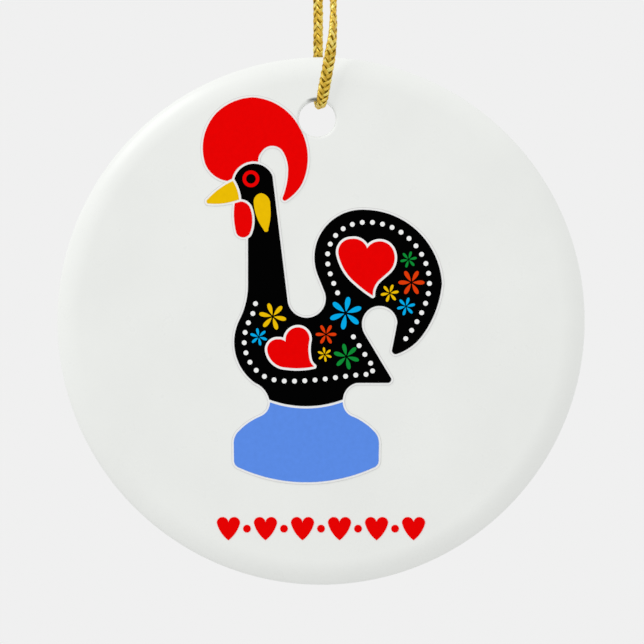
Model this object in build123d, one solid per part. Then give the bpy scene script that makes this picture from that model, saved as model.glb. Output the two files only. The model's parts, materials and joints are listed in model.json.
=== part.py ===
from build123d import *
import os
from math import cos, hypot, radians, sin, sqrt, tan

# A round porcelain ornament, printed with the folk rooster and hung on a gold braided cord.
# Millimetres. +Z is up and the printed face looks along -Y.
# The origin is in the top of the cord's loop, just under its knot, where a hook carries it.

# Porcelain disc
DISC_DIAMETER = 73.0
DISC_THICKNESS = 4.0
RIM_WIDTH = 3.4  # rounded rim, from the flat face out to the edge
RIM_TIP = 1.3  # radius of the rim's outermost arc
HOLE_DIAMETER = 5.1
HOLE_EDGE = 0.2  # softening of the hole's two edges
HOLE_WALL = 6.0  # porcelain left between the hole and the top of the rim
HOLE_SIDE = 0.52  # how far the hole sits to the left of the middle

# Colours, fired on in films that lie one on another
INK = 0.05  # thickness of one film
KEYLINE = 0.34  # white line round every colour of the figure
HOLE_MARGIN = 0.02  # bare glaze between the print and the hole's softened edge
ART_FIELD = 33.1  # radius of the round field that the figure below is drawn in, in the middle of the face
DOT_RADIUS = 0.39
DOT_SIDES = 10
BORDER_HEARTS = 6
BORDER_HEART = 3.2  # width and height of a heart in the border
BORDER_BULGE = (0.62, -0.35)  # a point on a heart's side, in half widths from its middle
BORDER_PITCH = 5.1
BORDER_DOT_RADIUS = 0.55
BORDER_HEIGHT = -28.6  # middle of the border, from the middle of the field

# Braided cord, tied in one knot
CORD_DIAMETER = 1.3
CORD_SIDES = 8
CORD_CLEARANCE = 0.08  # between the cord and the porcelain that it passes
LOOP_DROP = 58.0  # from the knot's underside down to the cord in the hole
KNOT_DIAMETER = 4.7
KNOT_HEIGHT = 5.2
KNOT_SLANT = 20  # degrees that the wraps lean
WRAP_STEP = 0.55  # of the two wraps, up and down from the knot's middle
KNOT_END = 3.1  # diameter of the knot's flat ends
KNOT_GRIP = 0.4  # how deep the strands and the tails reach into the knot
TAIL_RISE = 8.5

# Sizes that follow from these
disc_radius = DISC_DIAMETER / 2
half_thickness = DISC_THICKNESS / 2
hole_radius = HOLE_DIAMETER / 2
hole_height = disc_radius - HOLE_WALL - hole_radius
cord_radius = CORD_DIAMETER / 2
flat_radius = disc_radius - RIM_WIDTH
art_scale = flat_radius / ART_FIELD

# The cord lies in the top of the hole, straight above the middle of the disc.
cord_swing = hole_radius - cord_radius - CORD_CLEARANCE
cord_height = hole_height + sqrt(cord_swing**2 - HOLE_SIDE**2)
disc_z = -LOOP_DROP - cord_height
strand_y = half_thickness + CORD_CLEARANCE + cord_radius
hole_bend = HOLE_EDGE + CORD_CLEARANCE + cord_radius

# Outlines of the figure, in millimetres from the middle of its field.
# A step is the end of a straight line, or a point on an arc and the arc's end.
BEAK = [
    (-12.15, 19.28),
    ((-14.2, 18.05), (-15.6, 16.75)),
    ((-15.72, 16.32), (-15.4, 16.18)),
    ((-13.4, 16.22), (-11.3, 16.75)),
    ((-11.6, 18.15), (-12.15, 19.28)),
]
WATTLE = [
    (-11.88, 16.22),
    (-11.05, 16.45),
    ((-10.15, 16.1), (-9.72, 15.4)),
    ((-9.47, 13.7), (-9.8, 12.1)),
    ((-10.75, 11.52), (-11.65, 12.1)),
    ((-11.97, 14.0), (-11.88, 16.22)),
]
BODY = [
    (-12.0, 19.0),
    ((-9.35, 21.66), (-6.7, 20.0)),
    (-4.61, 2.77),
    ((-1.98, 0.44), (0.4, 4.25)),
    (-0.45, 6.36),
    ((0.3, 12.55), (6.2, 15.31)),
    ((13.7, 11.97), (16.65, 5.21)),
    ((15.84, 1.54), (14.0, -1.91)),
    ((12.5, -3.45), (10.5, -4.52)),
    ((9.9, -4.4), (9.8, -3.9)),
    ((10.2, -1.9), (10.52, -0.2)),
    ((8.07, 2.09), (5.63, -0.41)),
    ((5.72, -1.15), (6.05, -1.9)),
    (9.6, -7.8),
    ((9.6, -8.3), (9.15, -8.52)),
    (4.9, -8.52),
    ((3.6, -9.3), (3.0, -10.81)),
    ((-2.06, -11.72), (-7.12, -10.81)),
    ((-7.82, -9.43), (-9.1, -8.5)),
    ((-11.45, -5.5), (-11.3, 0.0)),
    ((-10.45, 2.1), (-10.05, 5.2)),
    (-10.05, 14.0),
    (-11.6, 17.0),
    (-12.0, 19.0),
]
COMB = [
    (-13.1, 19.32),
    ((-14.9, 20.2), (-15.95, 21.7)),
    ((-16.2, 24.9), (-14.4, 28.65)),
    ((-12.2, 30.15), (-9.4, 30.8)),
    ((-5.6, 29.55), (-3.0, 26.7)),
    ((-1.83, 22.6), (-2.6, 18.95)),
    ((-3.6, 17.6), (-4.85, 16.6)),
    ((-5.2, 16.65), (-5.28, 17.0)),
    ((-4.7, 18.95), (-4.52, 20.6)),
    ((-4.68, 22.05), (-5.2, 23.3)),
    ((-6.7, 24.14), (-8.2, 23.3)),
    ((-8.57, 22.7), (-8.66, 22.0)),
    (-8.66, 21.0),
    (-12.0, 19.2),
    (-13.1, 19.32),
]
EAR_LOBE = [
    (-8.2, 17.6),
    ((-7.3, 17.05), (-7.0, 16.0)),
    ((-6.95, 14.5), (-7.26, 12.7)),
    ((-7.55, 12.27), (-7.9, 12.57)),
    ((-8.85, 14.3), (-9.27, 16.3)),
    ((-9.0, 17.2), (-8.2, 17.6)),
]
BASE_MIDDLE = -2.02
BASE_SIDE = [  # right-hand half, from the body down
    (3.0, -10.9),
    ((3.27, -12.25), (4.2, -13.1)),
    ((5.9, -14.0), (7.2, -15.1)),
    ((7.78, -15.9), (7.97, -16.8)),
    (7.93, -19.1),
    ((7.75, -19.8), (7.2, -20.2)),
]
BASE_FOOT = -22.2
TAIL_HEART = [
    (6.35, 10.0),
    ((5.5, 11.05), (4.2, 11.3)),
    ((2.75, 10.6), (2.43, 9.1)),
    ((3.3, 6.95), (4.8, 5.25)),
    ((5.95, 4.3), (7.12, 3.49)),
    ((7.3, 4.6), (8.0, 5.65)),
    (9.2, 6.7),
    ((10.13, 8.4), (9.8, 10.0)),
    ((8.3, 10.95), (6.35, 10.0)),
]
BREAST_HEART = [
    (-4.86, -2.87),
    ((-4.35, -1.35), (-3.2, -0.87)),
    ((-1.95, -1.45), (-1.6, -2.6)),
    ((-1.75, -4.0), (-1.62, -5.1)),
    ((-1.4, -5.75), (-0.95, -6.25)),
    ((-2.9, -6.5), (-4.8, -6.4)),
    ((-6.9, -5.3), (-7.39, -4.1)),
    ((-6.85, -2.8), (-5.9, -2.52)),
    ((-5.3, -2.6), (-4.86, -2.87)),
]
EYE_MIDDLE = (-9.65, 19.58)
EYE_RADIUS = 1.16
PUPIL_RADIUS = 0.67

# Rows of dots: how many, and the curve that they follow
TAIL_DOTS = 26
TAIL_ROW = [
    (2.28, 3.88), (1.22, 6.66), (0.88, 8.6), (1.31, 10.67), (3.03, 12.69),
    (8.38, 13.36), (13.0, 10.44), (14.93, 5.3), (13.23, -0.05), (11.67, -2.43),
]
BREAST_DOTS = 19
BREAST_ROW = [
    (-9.02, 2.39), (-9.43, 0.93), (-10.1, -0.46), (-10.56, -3.15), (-9.75, -5.72),
    (-7.85, -7.6), (-3.8, -8.28), (0.49, -7.99), (6.2, -7.35),
]
SKIRT_DOTS = 4
SKIRT_ROW = [(6.83, -5.81), (6.02, -4.57), (4.46, -2.18)]
CORNER_DOT = (7.1, -6.87)

# A petal's start, half width there and half width at its tip, as shares of the flower's radius
PETALS = 6
PETAL_TIP_SIDES = 4
PETAL_ROOT = 0.09
PETAL_ROOT_HALF = 0.035
PETAL_TIP_HALF = 0.155

# Flowers of each colour: middle, radius and the angle of one petal
FLOWERS = {
    "yellow_flowers": [((-6.65, 0.62), 1.88, 48), ((0.51, -4.61), 1.0, 38), ((9.46, 3.83), 1.24, 10)],
    "sky_blue_flowers": [((3.4, 1.08), 2.25, 20), ((-8.58, -2.18), 1.2, 41), ((11.71, 2.0), 1.26, 13)],
    "orange_flowers": [((12.45, 5.3), 1.79, 0), ((0.69, -1.84), 1.42, 0)],
    "green_flowers": [((3.5, -4.9), 1.78, 43), ((12.06, 8.47), 1.15, 12)],
}

# Route of the front strand, then of the back one: height above the hole, and how far to the right
FRONT_STRAND = [(9.0, 1.62), (14.0, 1.68)]
BACK_STRAND = [(8.0, -0.43), (14.0, -0.45)]
STRANDS_APART = 1.5  # between the two strands where they enter the knot
TAIL_SPREAD = 3.0  # how far each tail leans out
ARC_SHARE = 0.45  # of a straight run that the arc at its end may take up


def art(point):
    """A point of the drawing, on the printed face."""
    return (point[0] * art_scale, point[1] * art_scale)


def outline(steps):
    """The closed shape that runs through the steps of one outline."""
    edges = []
    here = steps[0]
    for step in steps[1:]:
        if isinstance(step[0], tuple):
            middle, end = step
            edges.append(ThreePointArc(art(here), art(middle), art(end)))
        else:
            end = step
            edges.append(Line(art(here), art(end)))
        here = end
    return make_face(edges)


def base_steps():
    """Both halves of the base, the left one mirrored."""
    def mirrored(point):
        return (2 * BASE_MIDDLE - point[0], point[1])

    steps = list(BASE_SIDE)
    steps.append(((BASE_MIDDLE, BASE_FOOT), mirrored(steps[-1][1])))
    ends = [step[1] if isinstance(step[0], tuple) else step for step in BASE_SIDE]
    for i in range(len(BASE_SIDE) - 1, 0, -1):
        step = BASE_SIDE[i]
        if isinstance(step[0], tuple):
            steps.append((mirrored(step[0]), mirrored(ends[i - 1])))
        else:
            steps.append(mirrored(ends[i - 1]))
    steps.append(BASE_SIDE[0])
    return steps


def dot(radius):
    """A small round dot of the print."""
    return RegularPolygon(radius * art_scale, DOT_SIDES)


def dots(count, row):
    """Round dots, evenly spaced along a curve."""
    curve = Spline(*[art(point) for point in row])
    step = curve.length / (count - 1)
    places = [curve.position_at(i * step, PositionMode.LENGTH) for i in range(count)]
    return Sketch() + [Pos(place) * dot(DOT_RADIUS) for place in places]


def petal(radius):
    """One petal along X: narrow at the root and round at the tip."""
    root = PETAL_ROOT * radius
    root_half = PETAL_ROOT_HALF * radius
    tip_half = PETAL_TIP_HALF * radius
    swell = radius - tip_half
    corners = [(root, root_half), (root, -root_half)]
    for i in range(PETAL_TIP_SIDES + 1):
        angle = radians(180 * i / PETAL_TIP_SIDES - 90)
        corners.append((swell + tip_half * cos(angle), tip_half * sin(angle)))
    return make_face(Polyline(*corners, close=True))


def flower(middle, radius, turn):
    """A ring of petals that don't quite meet in the middle."""
    one = petal(radius * art_scale)
    turns = [turn + i * 360 / PETALS for i in range(PETALS)]
    return Sketch() + [Pos(*art(middle)) * Rot(0, 0, angle) * one for angle in turns]


def border_heart(x):
    """A plain heart of the border, with its lobes on half circles."""
    half = BORDER_HEART / 2
    lobe = half / 2
    shoulder = half - lobe
    bulge_x, bulge_z = BORDER_BULGE[0] * half, BORDER_BULGE[1] * half
    return Pos(*art((x, BORDER_HEIGHT))) * scale(make_face([
        ThreePointArc((0, shoulder), (lobe, half), (half, shoulder)),
        ThreePointArc((half, shoulder), (bulge_x, bulge_z), (0, -half)),
        ThreePointArc((0, -half), (-bulge_x, bulge_z), (-half, shoulder)),
        ThreePointArc((-half, shoulder), (-lobe, half), (0, shoulder)),
    ]), by=art_scale)


def border():
    """A row of small hearts with a dot between each two, under the base."""
    first = -BORDER_PITCH * (BORDER_HEARTS - 1) / 2
    hearts = [border_heart(first + i * BORDER_PITCH) for i in range(BORDER_HEARTS)]
    between = [first + (i + 0.5) * BORDER_PITCH for i in range(BORDER_HEARTS - 1)]
    spots = [Pos(*art((x, BORDER_HEIGHT))) * dot(BORDER_DOT_RADIUS) for x in between]
    return Sketch() + hearts + spots


def film(shape, layer):
    """A colour film on the front face, with the given number of films under it."""
    face = Plane(
        origin=(0, -half_thickness - layer * INK, disc_z), x_dir=(1, 0, 0), z_dir=(0, -1, 0)
    )
    return extrude(face * shape, INK)


def porcelain_disc():
    """The disc: a flat round blank with a soft rim and a hole for the cord."""
    tip_x = disc_radius - RIM_TIP
    reach = RIM_WIDTH - RIM_TIP
    shoulder = (reach**2 + half_thickness**2 - RIM_TIP**2) / (2 * (half_thickness - RIM_TIP))
    fall = shoulder - half_thickness
    share = RIM_TIP / hypot(reach, fall)
    meet = (tip_x + reach * share, fall * share)
    below = (meet[0], -meet[1])
    profile = make_face([
        Line((0, -half_thickness), (flat_radius, -half_thickness)),
        TangentArc((flat_radius, -half_thickness), below, tangent=(1, 0)),
        ThreePointArc(below, (disc_radius, 0), meet),
        TangentArc((flat_radius, half_thickness), meet, tangent=(1, 0)),
        Line((flat_radius, half_thickness), (0, half_thickness)),
        Line((0, half_thickness), (0, -half_thickness)),
    ])
    blank = revolve(Pos(0, 0, disc_z) * profile, Axis((0, 0, disc_z), (0, 1, 0)))
    hole = Pos(-HOLE_SIDE, 0, disc_z + hole_height) * Rot(90, 0, 0) * Cylinder(hole_radius, DISC_THICKNESS)
    pierced = blank - hole
    rims = pierced.edges().filter_by(GeomType.CIRCLE).filter_by(
        lambda edge: abs(edge.radius - hole_radius) < HOLE_EDGE / 2
    )
    return chamfer(rims, HOLE_EDGE)


def print_films():
    """Every colour of the print, under the name of its node."""
    hole_zone = Pos(-HOLE_SIDE, hole_height) * Circle(hole_radius + HOLE_EDGE + HOLE_MARGIN)
    beak = outline(BEAK)
    wattle = outline(WATTLE)
    body = outline(BODY) - offset(beak, KEYLINE) - offset(wattle, KEYLINE)
    comb = outline(COMB) - offset(body, KEYLINE) - offset(beak, KEYLINE) - hole_zone
    base = outline(base_steps()) - offset(body, KEYLINE)
    hearts = outline(TAIL_HEART) + outline(BREAST_HEART)
    white = Sketch()
    for shape in (beak, wattle, body, comb, base):
        white += offset(shape, KEYLINE)
    eye = Pos(*art(EYE_MIDDLE)) * (Circle(EYE_RADIUS * art_scale) - Circle(PUPIL_RADIUS * art_scale))
    rows = dots(TAIL_DOTS, TAIL_ROW) + dots(BREAST_DOTS, BREAST_ROW) + dots(SKIRT_DOTS, SKIRT_ROW)
    rows += Pos(*art(CORNER_DOT)) * dot(DOT_RADIUS)
    films = {
        "white_underprint": film(white - hole_zone, 0),
        "red_border": film(border(), 0),
        "black_body": film(body, 1),
        "red_comb": film(comb, 1),
        "red_wattle": film(wattle, 1),
        "yellow_beak": film(beak, 1),
        "blue_base": film(base, 1),
        "red_eye_ring": film(eye, 2),
        "yellow_ear_lobe": film(outline(EAR_LOBE), 2),
        "white_dots": film(rows, 2),
        "white_heart_borders": film(offset(hearts, KEYLINE), 2),
        "red_hearts": film(hearts, 3),
    }
    for name, places in FLOWERS.items():
        films[name] = film(Sketch() + [flower(*place) for place in places], 2)
    return films


def tube(name, points, given_bends):
    """A cord through the points, in straight runs and tangent arcs as large as the runs allow."""
    spots = [Vector(*point) for point in points]
    bends = []
    for i in range(1, len(spots) - 1):
        before, after = spots[i] - spots[i - 1], spots[i + 1] - spots[i]
        turn = radians(before.get_angle(after))
        widest = ARC_SHARE * min(before.length, after.length) / tan(turn / 2)
        bends.append(given_bends.get(i, widest))
    path = FilletPolyline(*spots, radius=bends)
    section = Plane(origin=path @ 0, z_dir=path % 0) * RegularPolygon(cord_radius, CORD_SIDES)
    swept = sweep(section, path=path)
    share = swept.volume / (section.area * path.length)
    print(name, "bend radii", [round(bend, 2) for bend in bends], "length", round(path.length, 1))
    print(name, "volume against section times length", round(share, 4))
    return swept


def hanging_cord():
    """The loop: down in front of the disc, back through its hole and up behind it."""
    knot_x = STRANDS_APART / 2
    points = [(knot_x, 0, KNOT_GRIP)]
    points += [(x, -strand_y, rise - LOOP_DROP) for rise, x in reversed(FRONT_STRAND)]
    points += [(0, -strand_y, -LOOP_DROP), (0, strand_y, -LOOP_DROP)]
    points += [(x, strand_y, rise - LOOP_DROP) for rise, x in BACK_STRAND]
    points += [(-knot_x, 0, KNOT_GRIP)]
    front_corner = 1 + len(FRONT_STRAND)
    return tube("hanging_cord", points, {front_corner: hole_bend, front_corner + 1: hole_bend})


def cord_knot():
    """The overhand knot: a round lump with the doubled cord wound aslant across it."""
    end = KNOT_END / 2
    half = KNOT_HEIGHT / 2
    waist = KNOT_DIAMETER / 2 - cord_radius
    profile = make_face(Polyline((0, -half), (end, -half), (waist, 0), (end, half), (0, half), close=True))
    wrap = Pos(waist, 0) * RegularPolygon(cord_radius, CORD_SIDES)
    wraps = Pos(0, WRAP_STEP) * wrap + Pos(0, -WRAP_STEP) * wrap
    core = revolve(Plane.XZ * profile, Axis.Z)
    belt = revolve(Plane.XZ * wraps, Axis.Z)
    return Pos(0, 0, half) * (core + Rot(KNOT_SLANT, 0, 0) * belt)


def cord_tails():
    """The two cut ends that stand up out of the knot."""
    foot = KNOT_HEIGHT - KNOT_GRIP
    tails = []
    for side in (1, -1):
        x = side * STRANDS_APART / 2
        points = [
            (x, 0, foot),
            (x, 0, foot + TAIL_RISE / 2),
            (x + side * TAIL_SPREAD, side * TAIL_SPREAD / 3, foot + TAIL_RISE),
        ]
        tails.append(tube("cord_tails", points, {}))
    return Part() + tails


nodes = {"disc": porcelain_disc()}
nodes.update(print_films())
nodes.update(hanging_cord=hanging_cord(), cord_knot=cord_knot(), cord_tails=cord_tails())
os.makedirs("parts", exist_ok=True)
for name, shape in nodes.items():
    export_step(shape, f"parts/{name}.step")
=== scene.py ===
import json
import random
from collections import namedtuple
from itertools import accumulate
from math import atan2, copysign, cos, pi, radians, sin

import bmesh
import bpy
from mathutils import Matrix, Vector


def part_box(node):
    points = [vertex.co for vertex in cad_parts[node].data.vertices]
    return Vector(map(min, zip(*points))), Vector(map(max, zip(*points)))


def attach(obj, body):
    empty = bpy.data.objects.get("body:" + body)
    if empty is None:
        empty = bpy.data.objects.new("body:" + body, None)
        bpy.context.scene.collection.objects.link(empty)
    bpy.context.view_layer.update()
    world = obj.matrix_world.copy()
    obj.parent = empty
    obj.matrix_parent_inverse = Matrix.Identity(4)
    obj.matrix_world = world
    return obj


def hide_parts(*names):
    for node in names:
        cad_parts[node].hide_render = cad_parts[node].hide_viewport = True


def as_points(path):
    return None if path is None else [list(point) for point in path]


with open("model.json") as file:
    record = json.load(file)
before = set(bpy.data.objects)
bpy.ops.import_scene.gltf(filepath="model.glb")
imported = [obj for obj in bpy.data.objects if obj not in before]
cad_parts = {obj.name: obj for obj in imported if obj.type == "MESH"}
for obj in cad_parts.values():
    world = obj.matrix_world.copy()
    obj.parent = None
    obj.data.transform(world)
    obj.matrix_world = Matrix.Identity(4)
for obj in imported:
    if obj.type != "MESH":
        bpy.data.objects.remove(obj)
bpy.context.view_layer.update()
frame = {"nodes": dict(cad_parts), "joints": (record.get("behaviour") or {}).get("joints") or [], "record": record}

# A round porcelain ornament with a printed folk rooster, hung on a gold braided cord.
# Metres, unless a comment says millimetres. +Z is up and the printed face looks along -Y.

MM = 0.001
scene = bpy.context.scene
slots = {material["slot"]: material for material in frame["record"]["materials"]}

# Porcelain disc
RIM_WIDTH = 3.4 * MM
RIM_TIP = 1.3 * MM  # radius of the rim's outermost arc
RIM_STEPS = 44
DISC_SEGMENTS = 288
HOLE_RADIUS = 2.55 * MM
HOLE_ROUND = 0.4 * MM  # rounding of the hole's two edges
HOLE_SIDE = 0.52 * MM  # how far the hole sits to the left of the middle
HOLE_HEIGHT = 27.95 * MM  # above the middle of the disc
HOLE_STEPS = 8
HOLE_SEGMENTS = 96
EDGE_LOOP = 0.1 * MM  # a flat loop beside each rounding, which keeps the face's shading flat
PAINTED_SHADE_SIDE = 0.3 * MM  # painted shade in the top of the hole, beside the cord, standing in for the cord's shadow: how far left its middle lies
PAINTED_SHADE_REACH = 1.25 * MM
PAINTED_SHADE_COLOUR = (0.17, 0.165, 0.15)

# Printed colours: the dots, petals and white line are drawn finer than their solids
DOT_RADIUS = 0.335 * MM
DOT_POINTS = 32
PETALS = 6
PETAL_POINTS = 32
PETAL_ROOT = 0.1  # start of a petal, as a share of the flower's radius, as the next two are
PETAL_TIP = 1.01
PETAL_HALF = 0.208
PETAL_SWELL = 0.95  # the higher, the nearer to its tip a petal is widest
FLOWERS = {  # middle of each, in millimetres from the middle of the disc, radius and the angle of one petal
    "yellow_flowers": [((-6.65, 0.62), 1.88, 48), ((0.51, -4.61), 1.0, 38), ((9.46, 3.83), 1.24, 10)],
    "sky_blue_flowers": [((3.4, 1.08), 2.25, 20), ((-8.58, -2.18), 1.2, 41), ((11.71, 2.0), 1.26, 13)],
    "orange_flowers": [((12.45, 5.3), 1.79, 0), ((0.69, -1.84), 1.42, 0)],
    "green_flowers": [((3.5, -4.9), 1.78, 43), ((12.06, 8.47), 1.15, 12)],
}
LINE_WIDTH = 0.09 * MM  # fine grey line along the edge of the white film
LINE_SHADE = (0.66, 0.66, 0.65)
LINE_INK = 1  # its place among the film's materials
FRONT_FACING = -0.9  # a face whose normal has less y than this looks to the front
WELD = 0.0001 * MM
INK_COLOURS = {  # of the inks that differ from the record's colours
    "white_ink": (0.845, 0.85, 0.84),
    "black_ink": (0.0002, 0.0002, 0.0002),
    "red_ink": (0.8, 0.0003, 0.0003),
    "sky_blue_ink": (0.001, 0.4, 0.8),
    "orange_ink": (0.72, 0.042, 0.002),
}

# Gold cord: a braid of flat strands round a thin core
STRANDS_EACH_WAY = 4
LOOSE_PITCH = 4.0  # millimetres that a strand takes for one turn where nothing bends the braid
BRAID_PITCHES = [(0, 2.5), (2, 2.6), (4.5, 3.4), (8, LOOSE_PITCH)]  # by the millimetres from the hole
BRAID_WIDE = 0.66 * MM  # half widths of the oval that the strands' middles lie on
BRAID_THIN = 0.29 * MM
BRAID_SQUEEZE = [(1.7, 0.78), (3.5, 1.0)]  # share of the wide half, by the millimetres from the hole
BRAID_WAVE = 0.13 * MM  # how far a strand rises over the others and dips under them
BRAID_STEP = 0.17 * MM
BRAID_SEED = 11
STRAND_HALF_WIDTH = 0.265 * MM  # at the loose pitch
STRAND_CROWDING = 0.8  # how fast a strand narrows where the pitch is shorter, as a power
STRAND_HALF_THICK = 0.1 * MM
STRAND_SIDES = 10
STRAND_SQUARE = 0.65  # below 1 the ribbons' section is squarer than an ellipse
STRAND_DRIFT = 0.1  # how unevenly the strands lie, in radians
STRAND_UNEVEN = 0.14  # share by which their width and height vary
UNEVEN_LENGTHS = (2.3, 5.1)  # of these ups and downs, in millimetres
CORE_SHARE = 0.6  # of the braid's oval
CORE_NUMBER = -1  # the strands count from 0
FRAY_LENGTH = 1.6 * MM
FRAY_SPREAD = 0.55
FOIL = 0  # places among the cord's materials
CORE = 1
LINE_RESOLUTION = 32  # points of the route between two control points

# Route of the cord, in millimetres: down in front, through the hole and up behind
FRONT_STRAND = [
    (1.0, -1.0, -8.0), (1.66, -3.2, -36.0), (1.7, -3.6, -44.5), (1.66, -3.7, -49.0), (0.36, -2.75, -56.0),
]
IN_HOLE = [(0.08, -2.42, -57.84), (0.0, -1.0, -57.73), (-0.03, 1.0, -57.73), (-0.17, 2.42, -57.84)]
BACK_STRAND = [(-0.42, 2.75, -56.0), (-0.4, 2.9, -50.0), (-0.39, 2.8, -43.0), (-0.7, 1.4, -8.0)]

# Knot, in millimetres: each strand rises through the core, winds once round it and leaves through the top
KNOT_STAND = (-0.75, 0.35)  # where the pair rises the first time
KNOT_RISE = (0.55, -0.5)  # and the second time
STAND_MARGIN = 0.6  # between the ends of the first rise and the knot's foot and wrap
STAND_BEND = (0.3, 1.1, 0.7)  # from the rise to the wrap: how far right of it, behind and above the wrap
PAIR_HALF = 0.62
WRAP_RADIUS = 1.9
WRAP_FROM = 70  # degrees
WRAP_POINTS = 8
WRAP_TOP = 3.9
WRAP_FOOT = 1.5
KNOT_TOP = 4.7
TAIL_LEAN = 3.4
TAIL_TOP = 12.9

# How far the flat braid is turned, in degrees, by the millimetres of cord from the middle of the hole
FRONT_TURNS = [(0, 0), (4, 4), (8, 12), (13, 57), (16.5, 90), (58, 230)]
BACK_TURNS = [(0, 0), (4, -38), (8, -60), (15, -60), (58, 120)]

# Looks of the materials
WHITE = (1.0, 1.0, 1.0)
NOISE_LOW = 0.3  # most of a noise's values lie between these two
NOISE_HIGH = 0.7
GLAZE_SHADES = (0.985, 1.015)  # darkest and lightest clouds, as shares of the glaze's colour
INK_SHADES = (0.95, 1.03)  # grain, as shares of the ink's colour
# darkest and lightest core thread, as shares of the cord's colour: its own dull tone, kept dark as painted shade
# for the gaps between strands
CORE_TONE_AND_GAP_SHADE = (0.14, 0.3)
CORE_BLUE = 0.25  # share of the cord's blue that its core has
FLOOR_GREYS = (0.73, 0.76)
DULL_FLECK = 0.95  # shares of the cord's colour
BRIGHT_FLECK = 1.5
GLINT = (1.0, 0.83, 0.27)  # brightest flecks: partly uneven foil, partly painted glints
FLECK_SHARE = 0.45  # of the fine flecks, in the mix with the long ones
DIP_PAINTED_SHADE = (0.3, 0.27, 0.01)  # painted shade of a strand where it dips under the others, standing in for the shade between strands
HALF_PAINTED_SHADE = (0.78, 0.79, 0.46)  # half way up
TOP_PAINTED_SHADE = (0.98, 1.0, 0.95)  # and over the others
STREAK_TINT = (0.57, 0.53, 0.2)  # of the darkest filaments
FILAMENT_STRETCH = (1.0, 14.0, 1.0)  # along a strand, round it, and unused
STRAND_SHIFT = (0.0, 7.3, 0.0)  # sets the long flecks of one strand apart from the next one's

# Camera and stage
CAMERA_DISTANCE = 0.42  # from the printed face
FRAME_WIDTH = 88.7 * MM  # of the face, across the picture
IMAGE_SIZE = 644
DISC_PIXEL = (321.0, 321.0)  # middle of the disc in the picture
SENSOR = 36.0
FLOOR_Z = -0.22
FLOOR_RADIUS = 0.5
FLOOR_SEGMENTS = 96
BACKGROUND = 0.871
AMBIENT = 0.97
KEY_PLACE = (-0.41, -0.25, 0.47)  # from the middle of the disc
KEY_SIZE = 0.3
KEY_POWER = 0.95

disc_low, disc_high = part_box("disc")
disc_middle = (disc_low + disc_high) / 2
disc_radius = (disc_high.x - disc_low.x) / 2
half_thickness = (disc_high.y - disc_low.y) / 2
hole_middle = (disc_middle.x - HOLE_SIDE, disc_middle.z + HOLE_HEIGHT)


# Materials

def larger(tree, first, second):
    """The larger of two values, worked out in a node tree."""
    node = tree.nodes.new("ShaderNodeMath")
    node.operation = "MAXIMUM"
    tree.links.new(first, node.inputs[0])
    tree.links.new(second, node.inputs[1])
    return node.outputs["Value"]


class Nodes:
    """A new procedural material, with short ways to add and link its nodes."""

    def __init__(self, name):
        self.material = bpy.data.materials.new(name)
        self.material.use_nodes = True
        self.tree = self.material.node_tree
        self.shader = self.tree.nodes["Principled BSDF"]
        self.place = self.add("ShaderNodeTexCoord").outputs["Object"]

    def add(self, kind, **settings):
        node = self.tree.nodes.new(kind)
        for key, value in settings.items():
            setattr(node, key, value)
        return node

    def link(self, output, target):
        self.tree.links.new(output, target)

    def uv(self, name):
        return self.add("ShaderNodeUVMap", uv_map=name).outputs["UV"]

    def noise(self, scale, detail=3.0, roughness=0.55, place=None):
        node = self.add("ShaderNodeTexNoise")
        node.inputs["Scale"].default_value = scale
        node.inputs["Detail"].default_value = detail
        node.inputs["Roughness"].default_value = roughness
        self.link(place or self.place, node.inputs["Vector"])
        return node.outputs["Fac"]

    def spread(self, value, target, source=(NOISE_LOW, NOISE_HIGH)):
        """The value, moved from one range to another."""
        node = self.add("ShaderNodeMapRange")
        for socket, number in zip(("From Min", "From Max", "To Min", "To Max"), (*source, *target)):
            node.inputs[socket].default_value = number
        self.link(value, node.inputs["Value"])
        return node.outputs["Result"]

    def ramp(self, value, *stops):
        """A colour for each stop of the value, blended between."""
        node = self.add("ShaderNodeValToRGB")
        elements = node.color_ramp.elements
        while len(elements) < len(stops):
            elements.new(0.5)
        for element, (position, colour) in zip(elements, stops):
            element.position = position
            element.color = (*colour, 1.0)
        self.link(value, node.inputs["Fac"])
        return node.outputs["Color"]

    def distance(self, x, z):
        """How far a place lies from a line along Y."""
        flat = self.add("ShaderNodeVectorMath", operation="MULTIPLY")
        flat.inputs[1].default_value = (1.0, 0.0, 1.0)
        self.link(self.place, flat.inputs[0])
        node = self.add("ShaderNodeVectorMath", operation="DISTANCE")
        node.inputs[1].default_value = (x, 0.0, z)
        self.link(flat.outputs["Vector"], node.inputs[0])
        return node.outputs["Value"]

    def stretched(self, vector, scale):
        node = self.add("ShaderNodeMapping")
        node.inputs["Scale"].default_value = scale
        self.link(vector, node.inputs["Vector"])
        return node.outputs["Vector"]

    def scaled_sum(self, kind, first, factor, second):
        """The first value times the factor, plus the second, by a node of the kind given."""
        node = self.add(kind, operation="MULTIPLY_ADD")
        self.link(first, node.inputs[0])
        node.inputs[1].default_value = factor
        self.link(second, node.inputs[2])
        return node.outputs[0]

    def multiply(self, first, second):
        node = self.add("ShaderNodeMix", data_type="RGBA", blend_type="MULTIPLY")
        node.inputs["Factor"].default_value = 1.0
        self.link(first, node.inputs["A"])
        self.link(second, node.inputs["B"])
        return node.outputs["Result"]

    def bump(self, height, strength, distance):
        node = self.add("ShaderNodeBump")
        node.inputs["Strength"].default_value = strength
        node.inputs["Distance"].default_value = distance
        self.link(height, node.inputs["Height"])
        self.link(node.outputs["Normal"], self.shader.inputs["Normal"])

    def set(self, **values):
        names = {"specular": "Specular IOR Level", "metallic": "Metallic", "ior": "IOR"}
        for key, value in values.items():
            self.shader.inputs[names[key]].default_value = value

    def colour(self, output):
        self.link(output, self.shader.inputs["Base Color"])

    def roughness(self, output):
        self.link(output, self.shader.inputs["Roughness"])


def shade(colour, share):
    return tuple(min(1.0, part * share) for part in colour)


def grey(level):
    return (level, level, level)


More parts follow.
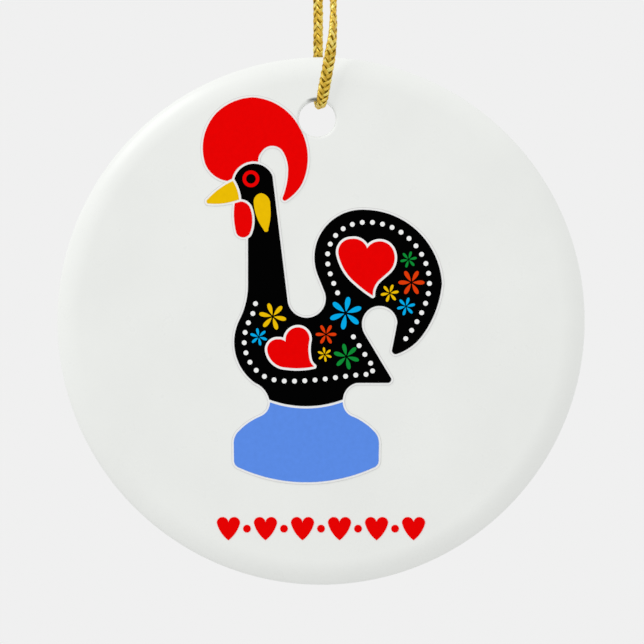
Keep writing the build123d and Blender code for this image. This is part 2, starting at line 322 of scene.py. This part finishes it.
def porcelain():
    """White glaze: nearly even, with faint clouds, a slightly wavy gloss and painted shade in the top of the hole,
    beside the cord.
    """
    white = slots["porcelain"]["base_color"]
    dark, light = GLAZE_SHADES
    nodes = Nodes("porcelain")
    clouds = nodes.noise(scale=90, detail=4)
    glaze = nodes.ramp(clouds, (NOISE_LOW, shade(white, dark)), (NOISE_HIGH, shade(white, light)))
    hole_x, hole_z = hole_middle
    # painted shade: the glaze darkens on the hole's wall beside the cord, standing in for the cord's shadow there
    from_painted_shade = nodes.distance(hole_x - PAINTED_SHADE_SIDE, hole_z + HOLE_RADIUS)
    from_hole = nodes.distance(hole_x, hole_z)
    beyond = nodes.spread(from_painted_shade, (0.0, 1.0), source=(PAINTED_SHADE_REACH / 3, PAINTED_SHADE_REACH))
    rounding = (HOLE_RADIUS + HOLE_ROUND / 3, HOLE_RADIUS + HOLE_ROUND)
    outside = nodes.spread(from_hole, (0.0, 1.0), source=rounding)
    painted_shade = nodes.ramp(larger(nodes.tree, beyond, outside), (0.0, PAINTED_SHADE_COLOUR), (1.0, WHITE))
    nodes.colour(nodes.multiply(glaze, painted_shade))
    nodes.roughness(nodes.spread(nodes.noise(scale=260), (0.26, 0.36)))
    nodes.bump(nodes.noise(scale=420, detail=2), strength=0.08, distance=0.05 * MM)
    nodes.set(specular=0.4, ior=1.5)
    return nodes.material


def ink(name, colour):
    """A fired-on colour: a thin film with a fine grain and slightly uneven strength."""
    dark, light = INK_SHADES
    nodes = Nodes(name)
    grain = nodes.noise(scale=1500, detail=4, roughness=0.6)
    nodes.colour(nodes.ramp(grain, (0.25, shade(colour, dark)), (0.75, shade(colour, light))))
    nodes.roughness(nodes.spread(nodes.noise(scale=700), (0.32, 0.46)))
    nodes.bump(nodes.noise(scale=2600, detail=2), strength=0.12, distance=0.02 * MM)
    nodes.set(specular=0.01, ior=1.5)
    return nodes.material


def gold_strand():
    """Metallic thread: bright and dull flecks along fine filaments, the brightest partly painted glints, and
    painted shade where a strand dips under the others.
    """
    gold = slots["gold_cord"]["base_color"]
    nodes = Nodes("gold_strand")
    along, raised = nodes.uv("strand"), nodes.uv("raised")
    filaments = nodes.noise(scale=2.2, detail=3, place=nodes.stretched(along, FILAMENT_STRETCH))
    flecks = nodes.noise(scale=2400, detail=2)
    apart = nodes.scaled_sum("ShaderNodeVectorMath", raised, STRAND_SHIFT, along)
    floats = nodes.noise(scale=0.9, detail=1, place=apart)
    long_flecks = nodes.spread(floats, (0.1, 0.45), source=(0.25, 0.75))
    mixed = nodes.scaled_sum("ShaderNodeMath", flecks, FLECK_SHARE, long_flecks)
    dull, bright = shade(gold, DULL_FLECK), shade(gold, BRIGHT_FLECK)
    # the brightest stop is partly painted glint, set among the random flecks
    foil = nodes.ramp(mixed, (0.34, dull), (0.48, bright), (0.6, GLINT))
    # painted shade: the lower a strand lies under the others, the darker its colour
    height = nodes.add("ShaderNodeSeparateXYZ")
    nodes.link(raised, height.inputs["Vector"])
    painted_dip_shade = nodes.ramp(height.outputs["X"], (0.1, DIP_PAINTED_SHADE), (0.5, HALF_PAINTED_SHADE), (0.85, TOP_PAINTED_SHADE))
    streaks = nodes.ramp(filaments, (0.34, STREAK_TINT), (0.5, WHITE))
    nodes.colour(nodes.multiply(nodes.multiply(foil, painted_dip_shade), streaks))
    nodes.roughness(nodes.spread(flecks, (0.46, 0.26)))
    nodes.bump(filaments, strength=0.5, distance=0.03 * MM)
    nodes.set(metallic=0.85, specular=0.5)
    return nodes.material


def core_thread():
    """Dull thread inside the braid, coloured dark as painted shade, which shows as dark gaps between its strands.
    """
    red, green, blue = slots["gold_cord"]["base_color"]
    brown = (red, green, blue * CORE_BLUE)
    dark, light = CORE_TONE_AND_GAP_SHADE
    nodes = Nodes("core_thread")
    grain = nodes.noise(scale=1800)
    nodes.colour(nodes.ramp(grain, (NOISE_LOW, shade(brown, dark)), (NOISE_HIGH, shade(brown, light))))
    nodes.roughness(nodes.spread(nodes.noise(scale=900), (0.7, 0.9)))
    nodes.set(specular=0.1)
    return nodes.material


def floor_material():
    dark, light = FLOOR_GREYS
    nodes = Nodes("studio_floor")
    clouds = nodes.noise(scale=6, detail=2)
    nodes.colour(nodes.ramp(clouds, (NOISE_LOW, grey(dark)), (NOISE_HIGH, grey(light))))
    nodes.roughness(nodes.spread(nodes.noise(scale=40), (0.8, 0.9)))
    nodes.set(specular=0.1)
    return nodes.material


# Meshes

def circle(middle, radius, count):
    """Points of (x, z) round a middle."""
    angles = [2 * pi * i / count for i in range(count)]
    return [(middle[0] + radius * cos(angle), middle[1] + radius * sin(angle)) for angle in angles]


def flat_ring(bm, outline, y):
    """New vertices at one depth, on an outline of (x, z)."""
    return [bm.verts.new((x, y, z)) for x, z in outline]


def join_rings(bm, first, second):
    """A band of faces between two rings of vertices."""
    count = len(first)
    faces = []
    for i in range(count):
        k = (i + 1) % count
        faces.append(bm.faces.new((first[i], first[k], second[k], second[i])))
    return faces


def ring_edges(bm, verts):
    return [bm.edges.get((verts[i], verts[(i + 1) % len(verts)])) for i in range(len(verts))]


def new_piece(name, bm, *materials):
    """An object in the scene with the finished mesh and its materials."""
    mesh = bpy.data.meshes.new(name)
    bm.to_mesh(mesh)
    bm.free()
    for material in materials:
        mesh.materials.append(material)
    piece = bpy.data.objects.new(name, mesh)
    scene.collection.objects.link(piece)
    return piece


# Porcelain disc

def rim_profile():
    """(radius, y) round the rim from the back face to the front: a shoulder, the tip and a shoulder."""
    flat = disc_radius - RIM_WIDTH
    reach = RIM_WIDTH - RIM_TIP
    shoulder = (reach**2 + half_thickness**2 - RIM_TIP**2) / (2 * (half_thickness - RIM_TIP))
    fall = shoulder - half_thickness
    meet = atan2(reach, fall)
    points = []
    for i in range(RIM_STEPS + 1):
        angle = pi * i / RIM_STEPS
        if angle < meet:
            middle, radius = (flat, -fall), shoulder
        elif angle > pi - meet:
            middle, radius = (flat, fall), shoulder
        else:
            middle, radius = (disc_radius - RIM_TIP, 0.0), RIM_TIP
        points.append((middle[0] + radius * sin(angle), middle[1] + radius * cos(angle)))
    return points


def hole_profile():
    """(radius, y) down the hole from the front face to the back: a rounding, the wall and a rounding."""
    outer = HOLE_RADIUS + HOLE_ROUND
    depth = half_thickness - HOLE_ROUND
    front = []
    for i in range(HOLE_STEPS + 1):
        angle = pi / 2 * i / HOLE_STEPS
        front.append((outer - HOLE_ROUND * sin(angle), -depth - HOLE_ROUND * cos(angle)))
    return front + [(radius, -y) for radius, y in reversed(front)]


def turned_surface(bm, middle, profile, segments):
    """A profile of (radius, y) turned about a line along Y: its rings of vertices."""
    rings = [flat_ring(bm, circle(middle, radius, segments), y) for radius, y in profile]
    for first, second in zip(rings, rings[1:]):
        join_rings(bm, first, second)
    return rings


def porcelain_disc():
    flat = disc_radius - RIM_WIDTH - EDGE_LOOP
    around = HOLE_RADIUS + HOLE_ROUND + EDGE_LOOP
    rim = [(flat, half_thickness), *rim_profile(), (flat, -half_thickness)]
    hole = [(around, -half_thickness), *hole_profile(), (around, half_thickness)]
    bm = bmesh.new()
    rim_rings = turned_surface(bm, (disc_middle.x, disc_middle.z), rim, DISC_SEGMENTS)
    hole_rings = turned_surface(bm, hole_middle, hole, HOLE_SEGMENTS)
    for outer, inner in ((rim_rings[0], hole_rings[-1]), (rim_rings[-1], hole_rings[0])):
        edges = ring_edges(bm, outer) + ring_edges(bm, inner)
        bmesh.ops.triangle_fill(bm, use_beauty=True, use_dissolve=False, edges=edges)
    bmesh.ops.recalc_face_normals(bm, faces=bm.faces)
    disc = new_piece("porcelain_disc", bm, porcelain())
    disc.data.shade_smooth()
    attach(disc, "disc")
    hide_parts("disc")


# Gold cord

def knot_strand(side):
    """One strand's way through the knot and up its tail: side is 1 in front and -1 behind."""
    stand_x, stand_y = KNOT_STAND[0], KNOT_STAND[1] - side * PAIR_HALF
    rise_x, rise_y = KNOT_RISE[0] - side * PAIR_HALF, KNOT_RISE[1]
    right, behind, above = STAND_BEND
    points = [
        (stand_x, stand_y, STAND_MARGIN),
        (stand_x, stand_y, WRAP_TOP - STAND_MARGIN),
        (stand_x + right, behind, WRAP_TOP + above + side * PAIR_HALF / 2),
    ]
    for i in range(WRAP_POINTS + 1):
        angle = radians(WRAP_FROM - 360 * i / WRAP_POINTS)
        height = WRAP_TOP + (WRAP_FOOT - WRAP_TOP) * i / WRAP_POINTS + side * PAIR_HALF
        points.append((WRAP_RADIUS * cos(angle), WRAP_RADIUS * sin(angle), height))
    points += [
        (rise_x, rise_y, WRAP_FOOT + side * PAIR_HALF / 2),
        (rise_x, rise_y, KNOT_TOP),
        (rise_x - side * TAIL_LEAN / 4, rise_y, KNOT_TOP + (TAIL_TOP - KNOT_TOP) / 2),
        (rise_x - side * TAIL_LEAN, -side, TAIL_TOP),
    ]
    return points


def smooth_line(points):
    """Points along the NURBS line that has the given points as its control points."""
    curve = bpy.data.curves.new("cord_route", "CURVE")
    curve.dimensions = "3D"
    spline = curve.splines.new("NURBS")
    spline.points.add(len(points) - 1)
    for spot, point in zip(spline.points, points):
        spot.co = (*(part * MM for part in point), 1.0)
    spline.order_u = 3
    spline.use_endpoint_u = True
    spline.resolution_u = LINE_RESOLUTION
    holder = bpy.data.objects.new("cord_route", curve)
    mesh = bpy.data.meshes.new_from_object(holder)
    line = [vert.co.copy() for vert in mesh.vertices]
    bpy.data.meshes.remove(mesh)
    bpy.data.objects.remove(holder)
    bpy.data.curves.remove(curve)
    return line


def even_steps(line, step):
    """Places about one step apart, each with its distance from the start, and the line's length."""
    places = [(0.0, line[0])]
    travelled, due = 0.0, step
    for here, there in zip(line, line[1:]):
        length = (there - here).length
        while length > 0 and travelled + length >= due:
            places.append((due, here.lerp(there, (due - travelled) / length)))
            due += step
        travelled += length
    return places, travelled


def blend(pairs, value):
    """The value between the pairs of (position, number), eased from one to the next."""
    for (start, first), (end, second) in zip(pairs, pairs[1:]):
        if value <= end:
            share = max(0.0, (value - start) / (end - start))
            share = share * share * (3 - 2 * share)
            return first + (second - first) * share
    return pairs[-1][1]


def squared(direction, tangent):
    """The direction, turned square to the tangent."""
    return (direction - tangent * direction.dot(tangent)).normalized()


def cross_directions(places, middle):
    """The braid's wide and thin directions at each place, carried along from the hole and then turned."""
    count = len(places)
    spots = [spot for _, spot in places]
    tangents = [(spots[min(i + 1, count - 1)] - spots[max(i - 1, 0)]).normalized() for i in range(count)]
    start = min(range(count), key=lambda i: abs(places[i][0] - middle))
    across = [None] * count
    across[start] = squared(Vector((1, 0, 0)), tangents[start])
    for i in range(start + 1, count):
        across[i] = squared(across[i - 1], tangents[i])
    for i in range(start - 1, -1, -1):
        across[i] = squared(across[i + 1], tangents[i])
    directions = []
    for i in range(count):
        travel = (places[i][0] - middle) / MM
        turn = blend(BACK_TURNS, travel) if travel > 0 else -blend(FRONT_TURNS, -travel)
        wide = Matrix.Rotation(radians(turn), 3, tangents[i]) @ across[i]
        directions.append((wide, tangents[i].cross(wide)))
    return directions


# The braid at one place: its length from the start, middle, wide and thin directions, half of its oval's
# width, turns that a strand has made, how far its strands stand apart and half of a strand's width
Section = namedtuple("Section", "length spot wide thin half_wide turns flare half_strand")


def braid_sections(line, middle):
    """The braid's sections along the line, and the length of the line."""
    places, total = even_steps(line, BRAID_STEP)
    directions = cross_directions(places, middle)
    sections = []
    turns, before = 0.0, 0.0
    for (length, spot), (wide, thin) in zip(places, directions):
        from_hole = abs(length - middle) / MM
        pitch = blend(BRAID_PITCHES, from_hole)
        turns += (length - before) / MM / pitch
        before = length
        fray = max(0.0, 1 - min(length, total - length) / FRAY_LENGTH)
        sections.append(Section(
            length, spot, wide, thin,
            half_wide=BRAID_WIDE * blend(BRAID_SQUEEZE, from_hole),
            turns=turns,
            flare=1 + FRAY_SPREAD * fray * fray,
            half_strand=STRAND_HALF_WIDTH * (pitch / LOOSE_PITCH)**STRAND_CROWDING,
        ))
    return sections, total


def wander(chance, sections):
    """A slow uneven swing between -1 and 1 along the cord, different for each strand."""
    waves = [(wave, chance.uniform(0, 2 * pi)) for wave in UNEVEN_LENGTHS]
    swing = []
    for section in sections:
        along = section.length / MM
        swing.append(sum(sin(2 * pi * along / wave + start) for wave, start in waves) / len(waves))
    return swing


def ribbon_section():
    """A flat strand's section: an ellipse drawn towards a rectangle, within -1 and 1."""
    points = []
    for spot in circle((0.0, 0.0), 1.0, STRAND_SIDES):
        points.append(tuple(copysign(abs(part)**STRAND_SQUARE, part) for part in spot))
    return points


def strand_skin(sections, way, strand, drift, swell):
    """A strand's rings of points, and how high it lies over the others at each, from 0 to 1."""
    start = (strand + (way + 1) / 4) / STRANDS_EACH_WAY
    middles, outward, heights = [], [], []
    for section, lean, bulge in zip(sections, drift, swell):
        angle = 2 * pi * (start + way * section.turns)
        lift = way * sin(2 * angle)
        rise = BRAID_WAVE * lift * (1 + STRAND_UNEVEN * bulge)
        angle += STRAND_DRIFT * lean
        wide = section.wide * (section.half_wide + rise) * cos(angle)
        thin = section.thin * (BRAID_THIN + rise) * sin(angle)
        out = section.wide * cos(angle) / section.half_wide + section.thin * sin(angle) / BRAID_THIN
        middles.append(section.spot + (wide + thin) * section.flare)
        outward.append(out.normalized())
        heights.append((1 + lift) / 2)
    ribbon = ribbon_section()
    rings = []
    for i, spot in enumerate(middles):
        ahead = (middles[min(i + 1, len(middles) - 1)] - middles[max(i - 1, 0)]).normalized()
        side = outward[i].cross(ahead).normalized()
        up = ahead.cross(side)
        half = sections[i].half_strand * (1 + STRAND_UNEVEN * drift[i])
        rings.append([spot + side * half * x + up * STRAND_HALF_THICK * y for x, y in ribbon])
    return rings, heights


def core_skin(sections):
    """Rings of points round the braid's thin core."""
    rings = []
    for section in sections:
        wide = section.wide * section.half_wide
        thin = section.thin * BRAID_THIN
        unit = circle((0.0, 0.0), 1.0, STRAND_SIDES)
        rings.append([section.spot + (wide * x + thin * y) * CORE_SHARE for x, y in unit])
    return rings


def sweep(bm, maps, sections, rings, heights, number, material):
    """A closed skin over a row of rings, with its ends filled."""
    strand_map, raised_map = maps
    made = [[bm.verts.new(point) for point in ring] for ring in rings]
    for i in range(len(made) - 1):
        for j, face in enumerate(join_rings(bm, made[i], made[i + 1])):
            face.material_index = material
            face.smooth = True
            corners = ((i, j), (i, j + 1), (i + 1, j + 1), (i + 1, j))
            for loop, (row, column) in zip(face.loops, corners):
                loop[strand_map].uv = (sections[row].length / MM, column / len(made[row]))
                loop[raised_map].uv = (heights[row], number)
    for end in (list(reversed(made[0])), made[-1]):
        face = bm.faces.new(end)
        face.material_index = material


def braid(sections):
    """Flat strands that wind both ways and pass over two and under two, round a thin core."""
    bm = bmesh.new()
    maps = [bm.loops.layers.uv.new(name) for name in ("strand", "raised")]
    chance = random.Random(BRAID_SEED)
    for way in (1, -1):
        for strand in range(STRANDS_EACH_WAY):
            drift = wander(chance, sections)
            swell = wander(chance, sections)
            rings, heights = strand_skin(sections, way, strand, drift, swell)
            number = strand + STRANDS_EACH_WAY * (way + 1) / 2
            sweep(bm, maps, sections, rings, heights, number, FOIL)
    sweep(bm, maps, sections, core_skin(sections), [0.0] * len(sections), CORE_NUMBER, CORE)
    bmesh.ops.recalc_face_normals(bm, faces=bm.faces)
    return bm


def hanging_cord():
    """One length of cord: a tail, the knot, the loop through the hole, the knot and the other tail."""
    route = list(reversed(knot_strand(1))) + FRONT_STRAND + IN_HOLE + BACK_STRAND + knot_strand(-1)
    line = smooth_line(route)
    pivot = Vector(frame["joints"][0]["pos_m"])
    steps = [(there - here).length for here, there in zip(line, line[1:])]
    lengths = list(accumulate(steps, initial=0.0))
    in_hole = min(range(len(steps)), key=lambda i: (line[i] - pivot).length)
    sections, total = braid_sections(line, lengths[in_hole])
    cord = new_piece("gold_cord", braid(sections), gold_strand(), core_thread())
    cord.visible_diffuse = False  # it casts the lamp's shadow and leaves the even light on the porcelain
    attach(cord, "cord")
    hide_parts("hanging_cord", "cord_knot", "cord_tails")
    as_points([section.spot for section in sections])


# Printed colours

def solid_mesh(node):
    """A welded copy of a solid's mesh."""
    bm = bmesh.new()
    bm.from_mesh(frame["nodes"][node].data)
    bmesh.ops.remove_doubles(bm, verts=bm.verts, dist=WELD)
    bm.verts.index_update()
    return bm


def islands(bm):
    """The vertices of each separate piece of a mesh."""
    seen = set()
    for start in bm.verts:
        if start.index in seen:
            continue
        seen.add(start.index)
        island, fresh = [], [start]
        while fresh:
            here = fresh.pop()
            island.append(here)
            for edge in here.link_edges:
                there = edge.other_vert(here)
                if there.index not in seen:
                    seen.add(there.index)
                    fresh.append(there)
        yield island


def dot_outlines(node):
    """A circle of (x, z) round the middle of each separate dot of a solid."""
    bm = solid_mesh(node)
    outlines = []
    for island in islands(bm):
        middle = sum((vert.co for vert in island), Vector()) / len(island)
        outlines.append(circle((middle.x, middle.z), DOT_RADIUS, DOT_POINTS))
    bm.free()
    return outlines


def petal_outline(middle, radius, turn):
    """One petal of a flower: pointed at its root and widest near its round tip."""
    points = []
    for i in range(PETAL_POINTS):
        angle = 2 * pi * i / PETAL_POINTS
        out = radius * (PETAL_ROOT + (PETAL_TIP - PETAL_ROOT) * (1 - cos(angle)) / 2)
        side = radius * PETAL_HALF * sin(angle) * sin(angle / 2)**PETAL_SWELL
        x = middle[0] + out * cos(turn) - side * sin(turn)
        z = middle[1] + out * sin(turn) + side * cos(turn)
        points.append((disc_middle.x + x * MM, disc_middle.z + z * MM))
    return points


def flower_outlines(node):
    outlines = []
    for middle, radius, turn in FLOWERS[node]:
        for i in range(PETALS):
            outlines.append(petal_outline(middle, radius, radians(turn + 360 * i / PETALS)))
    return outlines


def films(node, outlines):
    """A closed film for each outline, between the two faces of the node's solid."""
    low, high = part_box(node)
    bm = bmesh.new()
    for outline in outlines:
        front = flat_ring(bm, outline, low.y)
        back = flat_ring(bm, outline, high.y)
        join_rings(bm, front, back)
        bm.faces.new(front)
        bm.faces.new(back)
    return bm


def edged_film(node):
    """A solid's own film, with a narrow strip of the second ink along its edge."""
    bm = solid_mesh(node)
    front = [face for face in bm.faces if face.normal.y < FRONT_FACING]
    strip = bmesh.ops.inset_region(bm, faces=front, thickness=LINE_WIDTH, use_even_offset=True)["faces"]
    for face in strip:
        face.material_index = LINE_INK
    return bm


def drawn_film(node, slot, bm, *inks):
    """A drawn film on the disc, in the place of its solid."""
    bmesh.ops.recalc_face_normals(bm, faces=bm.faces)
    piece = new_piece(node + "_print", bm, *inks)
    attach(piece, "disc")
    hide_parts(node)


def printed_colours():
    """Each colour film gets the ink of its slot, on its solid or on a finer drawing of it."""
    inks = {}
    for part in frame["record"]["subparts"]:
        node, slot = part["node"], part["material_slot"]
        if not slot.endswith("_ink"):
            continue
        if slot not in inks:
            inks[slot] = ink(slot, INK_COLOURS.get(slot, slots[slot]["base_color"]))
        if node in FLOWERS:
            drawn_film(node, slot, films(node, flower_outlines(node)), inks[slot])
        elif node == "white_dots":
            drawn_film(node, slot, films(node, dot_outlines(node)), inks[slot])
        elif node == "white_underprint":
            drawn_film(node, slot, edged_film(node), inks[slot], ink("fine_line", LINE_SHADE))
        else:
            mesh = frame["nodes"][node].data
            mesh.materials.clear()
            mesh.materials.append(inks[slot])


# Stage, light and camera

def studio_floor():
    bm = bmesh.new()
    bmesh.ops.create_circle(bm, cap_ends=True, radius=FLOOR_RADIUS, segments=FLOOR_SEGMENTS)
    floor = new_piece("studio_floor", bm, floor_material())
    floor.location = (0, 0, FLOOR_Z)


def studio_world():
    """The pale background that the camera and the gloss see, and an even light for everything else."""
    world = bpy.data.worlds.new("studio")
    world.use_nodes = True
    tree = world.node_tree
    tree.nodes.clear()
    rays = tree.nodes.new("ShaderNodeLightPath").outputs
    seen = larger(tree, rays["Is Camera Ray"], rays["Is Glossy Ray"])
    seen = larger(tree, seen, rays["Is Transmission Ray"])
    light = tree.nodes.new("ShaderNodeBackground")
    light.inputs["Color"].default_value = (*WHITE, 1.0)
    light.inputs["Strength"].default_value = AMBIENT
    backdrop = tree.nodes.new("ShaderNodeBackground")
    backdrop.inputs["Color"].default_value = (*grey(BACKGROUND), 1.0)
    mix = tree.nodes.new("ShaderNodeMixShader")
    tree.links.new(seen, mix.inputs["Fac"])
    tree.links.new(light.outputs[0], mix.inputs[1])
    tree.links.new(backdrop.outputs[0], mix.inputs[2])
    output = tree.nodes.new("ShaderNodeOutputWorld")
    tree.links.new(mix.outputs[0], output.inputs["Surface"])
    scene.world = world


def key_light():
    """The lamp, turned to the middle of the disc."""
    data = bpy.data.lights.new("key_light", "AREA")
    data.size = KEY_SIZE
    data.energy = KEY_POWER
    light = bpy.data.objects.new("key_light", data)
    place = Vector(KEY_PLACE)
    light.location = disc_middle + place
    light.rotation_euler = (-place).to_track_quat("-Z", "Y").to_euler()
    scene.collection.objects.link(light)


def camera():
    """The photo's view: level, straight at the printed face, with the disc's middle at its pixel."""
    data = bpy.data.cameras.new("camera")
    data.sensor_width = SENSOR
    data.lens = SENSOR * CAMERA_DISTANCE / FRAME_WIDTH
    half = IMAGE_SIZE / 2
    data.shift_x = (half - DISC_PIXEL[0]) / IMAGE_SIZE
    data.shift_y = (DISC_PIXEL[1] - half) / IMAGE_SIZE
    view = bpy.data.objects.new("camera", data)
    view.location = disc_middle + Vector((0, -half_thickness - CAMERA_DISTANCE, 0))
    view.rotation_euler = (radians(90), 0, 0)
    scene.collection.objects.link(view)
    scene.camera = view


camera()
hanging_cord()
porcelain_disc()
printed_colours()
studio_floor()
studio_world()
key_light()
scene.view_settings.view_transform = "Standard"
